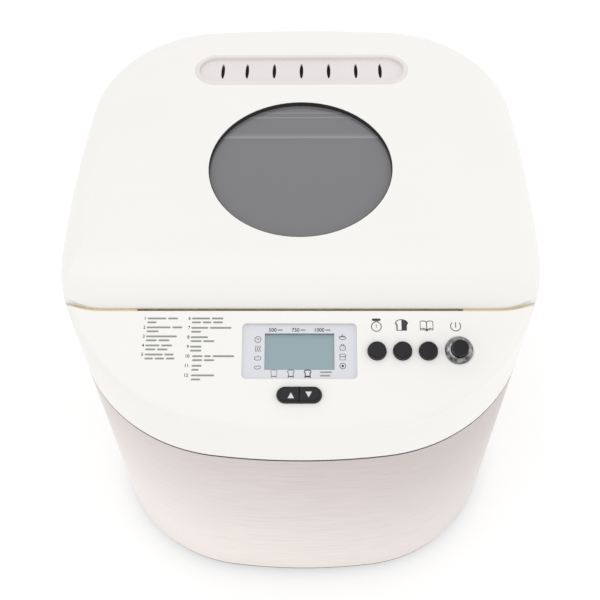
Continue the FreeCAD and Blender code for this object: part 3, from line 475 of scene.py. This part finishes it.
def trace(points):
    """A chain of edges through points, left in edit mode; it closes where the last point is the first."""
    clear_selection()
    bpy.ops.mesh.primitive_circle_add(vertices=3, radius=MM)
    bpy.ops.object.mode_set(mode="EDIT")
    bpy.ops.mesh.select_all(action="SELECT")
    bpy.ops.mesh.merge(type="CENTER")
    bpy.ops.transform.translate(value=(points[0][0] * MM, points[0][1] * MM, 0))
    for (x0, y0), (x1, y1) in zip(points, points[1:]):
        step = ((x1 - x0) * MM, (y1 - y0) * MM, 0)
        bpy.ops.mesh.extrude_region_move(TRANSFORM_OT_translate={"value": step})
    bpy.ops.mesh.select_all(action="SELECT")
    bpy.ops.mesh.remove_doubles(threshold=0.01 * MM)


def ink_line(points, width):
    """A flat ribbon of ink along points."""
    trace(points)
    bpy.ops.object.mode_set(mode="OBJECT")
    bpy.ops.object.convert(target="CURVE")
    stroke = bpy.context.object.data
    stroke.bevel_depth = width / 2
    stroke.bevel_resolution = 1
    stroke.use_fill_caps = True
    bpy.ops.object.convert(target="MESH")
    bpy.context.object.scale.z = settings().prints.rise / width
    apply_place()
    return bpy.context.object


def ink_area(points):
    """A filled patch of ink inside a closed outline."""
    trace(closed(points))
    bpy.ops.mesh.edge_face_add()
    bpy.ops.mesh.extrude_region_move(TRANSFORM_OT_translate={"value": (0, 0, settings().prints.rise)})
    bpy.ops.mesh.select_all(action="SELECT")
    bpy.ops.mesh.normals_make_consistent(inside=False)
    bpy.ops.object.mode_set(mode="OBJECT")
    apply_place()
    return bpy.context.object


def ink_bar(x, y, long, high):
    """A filled bar of ink with rounded ends, from the middle of its left end."""
    half = high / 2
    left = arc(x + half, y, half, 90, 270, BAR_END_STEPS)
    right = arc(x + long - half, y, half, -90, 90, BAR_END_STEPS)
    return ink_area(left + right)


def ink_number(text, x, y, size, bolder):
    """A plain number, centred."""
    clear_selection()
    bpy.ops.object.text_add(location=(x * MM, y * MM, 0))
    number = bpy.context.object.data
    number.body = text
    number.size = size
    number.align_x = "CENTER"
    number.align_y = "CENTER"
    number.offset = bolder
    number.extrude = settings().prints.rise / 2
    bpy.ops.object.convert(target="MESH")
    apply_place()
    return bpy.context.object


def print_on(name, shapes, point, ink, body):
    """Join ink shapes, lay them on the panel's slope and let them ride on a body."""
    clear_selection()
    for shape in shapes:
        shape.select_set(True)
    bpy.context.view_layer.objects.active = shapes[0]
    if len(shapes) > 1:
        bpy.ops.object.join()
    piece = bpy.context.object
    piece.name = name
    piece.data.name = name
    piece.location = point
    piece.rotation_euler = (TILT, 0, 0)
    apply_place()
    piece.data.materials.clear()
    piece.data.materials.append(ink_finish(ink))
    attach(piece, body)


# Pictograms, in millimetres from their middle

SLICE_HALF = [(0, 3.45), (1.6, 3.2), (2.9, 2.5), (3.65, 1.6), (3.7, 1.0), (3.3, 0.4), (3.0, 0.0),
              (3.0, -3.3), (0, -3.3)]
PAGE = [(0, 2.1), (0.8, 2.85), (2.2, 3.05), (3.8, 2.7), (3.8, -1.85), (2.2, -1.55), (0.8, -1.95), (0, -2.7)]
PAGE_EDGE = [(3.8, -1.85), (3.7, -2.7), (2.0, -2.4), (0.8, -2.7), (0, -3.3)]
POWER_BAR = [(0, -0.9), (0, 2.4)]
CLOCK_HANDS = [(-0.75, 0.75), (0, 0), (0.9, 0.35)]
LOAF_HALF = [(0.9, 2.3), (1.75, 1.9), (2.05, 1.2), (1.5, 0.6), (1.4, -1.6)]
LOAF_BASE = [(-1.4, -1.6), (1.4, -1.6)]
TIN_LOAF_HALF = [(1.2, 1.8), (1.9, 1.0), (1.6, 0.3), (1.6, -1.8)]
TIN_RIM = [(-1.6, 0.2), (1.6, 0.2)]
RISEN_DOUGH = [(-1.9, -0.2), (-1.5, 0.7), (-0.9, 0.9), (-0.3, 0.5), (0.2, 1.5), (0.7, 0.8), (1.3, 1.0),
               (1.9, 0.2), (1.7, -0.8), (0.9, -1.2), (-0.9, -1.2), (-1.7, -0.9)]
DOUGH = [(-1.9, 0.1), (-1.2, 0.9), (-0.4, 0.5), (0.3, 0.9), (1.3, 0.9), (1.9, 0.2), (1.5, -0.7), (0.5, -1.0),
         (-0.8, -1.0), (-1.6, -0.6)]
BOWL_RIM = [(-1.2, -0.1), (0, 0.3), (1.2, -0.1)]
POT = [(-0.9, 1.1), (0.9, 1.1), (1.6, 0.5), (1.6, -1.4), (1.2, -1.8), (-1.2, -1.8), (-1.6, -1.4),
       (-1.6, 0.5)]
POT_MARK = [(0.2, -0.3), (0.9, -0.3)]
ARROW = [(-1.9, -1.65), (1.9, -1.65), (0, 1.75)]


def stopwatch(width):
    """Dial, push bar, two struts and a broken hand."""
    struts = [[(-0.8, 2.7), (-0.5, 2.0)], [(0.8, 2.7), (0.5, 2.0)]]
    hand = [[(0, -1.8), (0, -1.3)], [(0, -0.7), (0, 0.3)]]
    dial = ink_line(arc(0, -0.95, 2.95, 0, 360), width)
    push_bar = ink_bar(-2.65, 3.3, 5.3, 1.5)
    return [dial, push_bar] + [ink_line(stroke, width) for stroke in struts + hand]


def half_dark_bread(width):
    """A slice of bread with its right half filled."""
    inset, thin = 0.8, 0.7
    inner = [(-x * inset, y) for x, y in SLICE_HALF[3:8]]
    outline = ink_line(closed(both_sides(SLICE_HALF)), width)
    return [outline, ink_area(SLICE_HALF), ink_line(inner, width * thin)]


def open_book(width):
    strokes = [ink_line([PAGE[0], PAGE[-1]], width)]
    for side in (-1, 1):
        strokes += [ink_line([(side * x, y) for x, y in edge], width) for edge in (PAGE, PAGE_EDGE)]
    return strokes


def power_sign(width):
    return [ink_line(arc(0, 0, 3.0, 133, 407), width), ink_line(POWER_BAR, width)]


def clock(x, y, width):
    dial = arc(x, y, 1.85, 0, 360, SMALL_RING_STEPS)
    return [ink_line(dial, width), ink_line(at(CLOCK_HANDS, x, y), width)]


def steam(x, y, width):
    """Three rising waves."""
    sway, turn, climb, foot, gap = 0.35, 1.1, 0.42, -1.9, 1.3
    wave = [(sway * math.sin(step * turn), step * climb + foot) for step in range(10)]
    return [ink_line(at(wave, x + shift, y), width) for shift in (-gap, 0, gap)]


def risen_dough(x, y, width):
    return [ink_line(at(closed(RISEN_DOUGH), x, y), width)]


def dough(x, y, width):
    return [ink_line(at(closed(DOUGH), x, y), width)]


def jam_bowl(x, y, width):
    """A shallow bowl with a fruit over it."""
    bowl = [(2.0 * px, 1.1 * py - 0.4) for px, py in arc(0, 0, 1, 0, 360, SMALL_RING_STEPS)]
    fruit = arc(x, y + 1.5, 0.3, 0, 315, 7)
    return [ink_line(at(bowl, x, y), width), ink_line(at(BOWL_RIM, x, y), width), ink_area(fruit)]


def pot(x, y, width):
    """A pot with a two-part handle."""
    handles = [[(side * 0.9, 2.0), (side * 0.2, 1.1)] for side in (-1, 1)]
    return [ink_line(at(stroke, x, y), width) for stroke in handles + [closed(POT), POT_MARK]]


def tin_loaf(x, y, width):
    """A loaf over the rim of its tin."""
    return [ink_line(at(stroke, x, y), width) for stroke in (closed(both_sides(TIN_LOAF_HALF)), TIN_RIM)]


def dot_ring(x, y, width):
    ring, dot = arc(x, y, 1.75, 0, 360, SMALL_RING_STEPS), arc(x, y, 0.75, 0, 345, 15)
    return [ink_line(ring, width), ink_area(dot)]


def crust_loaf(x, y, width):
    """A loaf on a thick base with two feet."""
    thick = 1.6
    base = ink_line(at(LOAF_BASE, x, y), width * thick)
    feet = [[(side * 1.4, -1.6), (side * 1.7, -2.5)] for side in (-1, 1)]
    outline = both_sides(LOAF_HALF[::-1])[::-1]
    return [base] + [ink_line(at(stroke, x, y), width) for stroke in feet + [outline]]


# Operators

# The seam gasket's black rubber is a seal strip that also serves as the painted shadow line between the steel wrap
# and the housing
CASING = ("rubber_feet", "base_tray", "base_screws", "steel_wrap", "cord_gland", "seam_gasket",
          "upper_housing", "chamber_frame", "hinge_pins")
LID = ("lid_shell", "window_pane", "window_gasket", "window_retainer", "lid_liner", "inner_pane",
       "vent_strip", "vent_filter", "lid_screws")
CONTROLS = ("start_ring", "lcd_bezel", "lcd_screen", "lcd_module", "control_board", "tact_switches",
            "board_screws", "timer_button", "crust_button", "menu_button", "start_button", "up_button",
            "down_button")


class BREAD_OT_casing(bpy.types.Operator):
    """Finish the steel wrap, white housing, base and feet"""
    bl_idname = "bread_machine.casing"
    bl_label = "Casing"

    def execute(self, context):
        dress(CASING)
        return {"FINISHED"}


class BREAD_OT_lid(bpy.types.Operator):
    """Finish the lid, its window and vent strip"""
    bl_idname = "bread_machine.lid"
    bl_label = "Lid"

    def execute(self, context):
        dress(LID)
        return {"FINISHED"}


class BREAD_OT_controls(bpy.types.Operator):
    """Finish the keys, the display and the boards"""
    bl_idname = "bread_machine.controls"
    bl_label = "Controls"

    def execute(self, context):
        dress(CONTROLS)
        return {"FINISHED"}


class BREAD_OT_oven(bpy.types.Operator):
    """Finish the oven, the pan and the drive"""
    bl_idname = "bread_machine.oven"
    bl_label = "Oven, pan and drive"

    def execute(self, context):
        dress([name for name in frame["nodes"] if name not in CASING + LID + CONTROLS])
        return {"FINISHED"}


class BREAD_OT_programme_list(bpy.types.Operator):
    """Print the programme numbers and the plain bars beside them"""
    bl_idname = "bread_machine.programme_list"
    bl_label = "Programme list"

    # First number, last number, left, top and pitch, in millimetres from the display
    columns = ((1, 5, -93.2, 19.9, 5.6), (6, 12, -66.3, 19.9, 5.85))
    # Lengths in the first and the second line
    bar_lengths = {
        1: ((11.5, 6), (5.6,)),
        2: ((14.4, 6), (7.3,)),
        3: ((18.6,), (6.6, 6.6)),
        4: ((8.5, 6.6), (6.2, 6.2)),
        5: ((10.8, 5.5), (5.2, 5.6, 5.2)),
        6: ((11, 7), (5.6, 5.2, 6)),
        7: ((10.2, 13), (6,)),
        8: ((10.4,), (6.6, 6.6)),
        9: ((6.8,), (6.8,)),
        10: ((6.2, 4, 12.8), (6, 6.2)),
        11: ((6,), (4.3,)),
        12: ((13.8,), (5.6,)),
    }
    text_start = 1.4
    second_digit = 1.6
    bar_gap = 1.0
    line_drop = 2.45
    lean = 0.025

    def line(self, x, y, lengths):
        """The bars of one line, from its left end."""
        bars = []
        for long in lengths:
            bars.append(ink_bar(x, y, long, settings().prints.bar / MM))
            x += long + self.bar_gap
        return bars

    def execute(self, context):
        sizes = settings().prints
        numbers, bars = [], []
        for first, last, left, top, pitch in self.columns:
            for number in range(first, last + 1):
                drop = pitch * (number - first)
                x, y = left - drop * self.lean, top - drop
                numbers.append(ink_number(str(number), x, y, sizes.digit, sizes.bolder))
                x += self.text_start + (self.second_digit if number >= 10 else 0)
                for row, lengths in enumerate(self.bar_lengths[number]):
                    bars += self.line(x, y - row * self.line_drop, lengths)
        place = panel_point("lcd_screen", 0, 0, panel_surface() + sizes.rise / 2)
        print_on("programme_numbers", numbers, place, "ink", "machine")
        print_on("programme_bars", bars, place, "word_ink", "machine")
        return {"FINISHED"}


class BREAD_OT_key_signs(bpy.types.Operator):
    """Print the pictograms over the round keys and the arrows on the rocker keys"""
    bl_idname = "bread_machine.key_signs"
    bl_label = "Key signs"

    # Name, drawing, key, and the way from the key's middle across and up, in millimetres
    signs = (("timer_sign", stopwatch, "timer_button", -0.1, 15.5),
             ("crust_sign", half_dark_bread, "crust_button", -0.2, 15.5),
             ("menu_sign", open_book, "menu_button", -0.5, 15.05),
             ("start_sign", power_sign, "start_button", -1.2, 14.65))
    # Name, key, way it points, and the way from the key's middle across and up, in millimetres
    arrows = (("up_arrow", "up_button", 1, 2.45, -1.4), ("down_arrow", "down_button", -1, -1.8, -0.75))

    def execute(self, context):
        sizes = settings().prints
        for name, draw, key, across, up in self.signs:
            place = panel_point(key, across, up, panel_surface() + sizes.rise / 2)
            print_on(name, draw(sizes.line), place, "ink", "machine")
        for name, key, way, across, up in self.arrows:
            arrow = ink_area([(x * way, y * way) for x, y in ARROW])
            place = panel_point(key, across, up, height_on_panel(key))
            print_on(name, [arrow], place, "light_ink", key)
        return {"FINISHED"}


class BREAD_OT_display_print(bpy.types.Operator):
    """Print the numbers, bars and pictograms round the display"""
    bl_idname = "bread_machine.display_print"
    bl_label = "Display print"

    # Middle of each number, the number, and the way to its bar; places are from the display, in millimetres
    weights = ((-16.2, "500", 2.9), (-2.4, "750", 2.9), (11.8, "1000", 3.7))
    weight_row = 13.25
    unit_long = 3.2
    left_x = -25.0
    left_rows = (7.4, 1.6, -4.1, -9.8)
    right_x = 25.8
    right_rows = (8.9, 2.6, -3.4, -8.9)
    loaf_row = -13.7
    loaf_xs = (-15.2, -5.1, 4.9)
    # Weight of the line, for a light, a medium and a dark crust
    crusts = (0.7, 1.1, 1.7)
    note_x = 12.2
    # Row and length of each bar
    note_rows = ((-12.7, 7.2), (-14.8, 6.2))

    def execute(self, context):
        sizes = settings().prints
        fine = sizes.fine_line
        small = sizes.small_bar / MM
        place = panel_point("lcd_screen", 0, 0, height_on_panel("lcd_bezel") + sizes.rise / 2)
        numbers = [ink_number(text, x, self.weight_row, sizes.display_digit, sizes.display_bolder)
                   for x, text, unit in self.weights]
        bars = [ink_bar(x + unit, self.weight_row, self.unit_long, small) for x, text, unit in self.weights]
        bars += [ink_bar(self.note_x, row, long, small) for row, long in self.note_rows]
        signs = []
        for draw, row in zip((clock, steam, risen_dough, dough), self.left_rows):
            signs += draw(self.left_x, row, fine)
        for draw, row in zip((jam_bowl, pot, tin_loaf, dot_ring), self.right_rows):
            signs += draw(self.right_x, row, fine)
        for x, weight in zip(self.loaf_xs, self.crusts):
            signs += crust_loaf(x, self.loaf_row, fine * weight)
        print_on("weight_numbers", numbers, place, "ink", "machine")
        print_on("display_bars", bars, place, "word_ink", "machine")
        print_on("display_signs", signs, place, "ink", "machine")
        return {"FINISHED"}


class BREAD_OT_studio(bpy.types.Operator):
    """Set the pale floor, the soft lights and the camera"""
    bl_idname = "bread_machine.studio"
    bl_label = "Studio"

    floor_size = 12.0
    floor_shade = (0.62, 0.62, 0.62)
    white = (1, 1, 1, 1)
    # Name, place, size and the setting of its power
    lamps = (("key_light", (-0.3, -0.2, 1.5), 0.9, "key_power"),
             ("fill_light", (0.9, -0.2, 1.0), 0.8, "fill_power"))
    aim = Vector((0, 0, 0.2))

    def execute(self, context):
        self.make_floor()
        self.make_sky(context)
        self.make_lamps()
        self.make_camera(context)
        context.scene.view_settings.view_transform = "Standard"
        return {"FINISHED"}

    def make_floor(self):
        clear_selection()
        bpy.ops.mesh.primitive_grid_add(x_subdivisions=4, y_subdivisions=4, size=self.floor_size)
        floor = bpy.context.object
        floor.name = "floor"
        material, shader, place = start_finish("studio_floor")
        tint(material, shader, grain(material, place, 2), self.floor_shade, 0.004)
        shader.inputs["Roughness"].default_value = 0.9
        shader.inputs["Specular IOR Level"].default_value = 0.0
        shader.inputs["Emission Color"].default_value = self.white
        shader.inputs["Emission Strength"].default_value = settings().studio.floor_glow
        floor.data.materials.append(material)

    def make_sky(self, context):
        """Even white light, and plain white where the camera, metal and glass see past the floor."""
        world = bpy.data.worlds.new("studio")
        context.scene.world = world
        world.use_nodes = True
        tree = world.node_tree
        light = tree.nodes["Background"]
        light.inputs["Color"].default_value = self.white
        light.inputs["Strength"].default_value = settings().studio.sky
        backdrop = tree.nodes.new("ShaderNodeBackground")
        backdrop.inputs["Color"].default_value = self.white
        path = tree.nodes.new("ShaderNodeLightPath")
        seen = path.outputs["Is Camera Ray"]
        for ray in ("Is Glossy Ray", "Is Transmission Ray"):
            either = tree.nodes.new("ShaderNodeMath")
            either.operation = "MAXIMUM"
            tree.links.new(seen, either.inputs[0])
            tree.links.new(path.outputs[ray], either.inputs[1])
            seen = either.outputs["Value"]
        mix = tree.nodes.new("ShaderNodeMixShader")
        tree.links.new(seen, mix.inputs["Fac"])
        tree.links.new(light.outputs["Background"], mix.inputs[1])
        tree.links.new(backdrop.outputs["Background"], mix.inputs[2])
        tree.links.new(mix.outputs["Shader"], tree.nodes["World Output"].inputs["Surface"])

    def make_lamps(self):
        for name, place, size, power in self.lamps:
            bpy.ops.object.light_add(type="AREA", location=place)
            lamp = bpy.context.object
            lamp.name = name
            lamp.data.size = size
            lamp.data.energy = getattr(settings().studio, power)
            lamp.rotation_euler = (self.aim - Vector(place)).to_track_quat("-Z", "Y").to_euler()

    def make_camera(self, context):
        studio = settings().studio
        place = (studio.camera_side, -studio.camera_front, studio.camera_height)
        tilt = Euler((math.pi / 2 - studio.camera_pitch, 0, 0)).to_matrix()
        turn = (tilt @ Euler((0, studio.camera_pan, 0)).to_matrix()).to_euler()
        bpy.ops.object.camera_add(location=place, rotation=turn)
        camera = bpy.context.object
        camera.name = "camera"
        camera.data.lens = studio.camera_lens
        context.scene.camera = camera


class BREAD_PT_panel(bpy.types.Panel):
    """Steps that dress the machine"""
    bl_idname = "BREAD_PT_panel"
    bl_label = "Bread Machine"
    bl_space_type = "VIEW_3D"
    bl_region_type = "UI"
    bl_category = "Bread Machine"

    def draw(self, context):
        for step in STEPS:
            self.layout.operator(step.bl_idname)
        for group in ("colours", "prints", "studio"):
            box = self.layout.box()
            values = getattr(context.scene.bread_machine, group)
            for key in values.__annotations__:
                box.prop(values, key)


STEPS = (BREAD_OT_casing, BREAD_OT_lid, BREAD_OT_controls, BREAD_OT_oven, BREAD_OT_programme_list,
         BREAD_OT_key_signs, BREAD_OT_display_print, BREAD_OT_studio)
CLASSES = (MachineColours, PrintSizes, StudioSettings, MachineSettings) + STEPS + (BREAD_PT_panel,)


def register():
    for item in CLASSES:
        bpy.utils.register_class(item)
    bpy.types.Scene.bread_machine = PointerProperty(type=MachineSettings)


def unregister():
    del bpy.types.Scene.bread_machine
    for item in reversed(CLASSES):
        bpy.utils.unregister_class(item)


def main():
    register()
    for step in STEPS:
        getattr(bpy.ops.bread_machine, step.bl_idname.split(".")[1])()


if __name__ == "__main__":
    main()
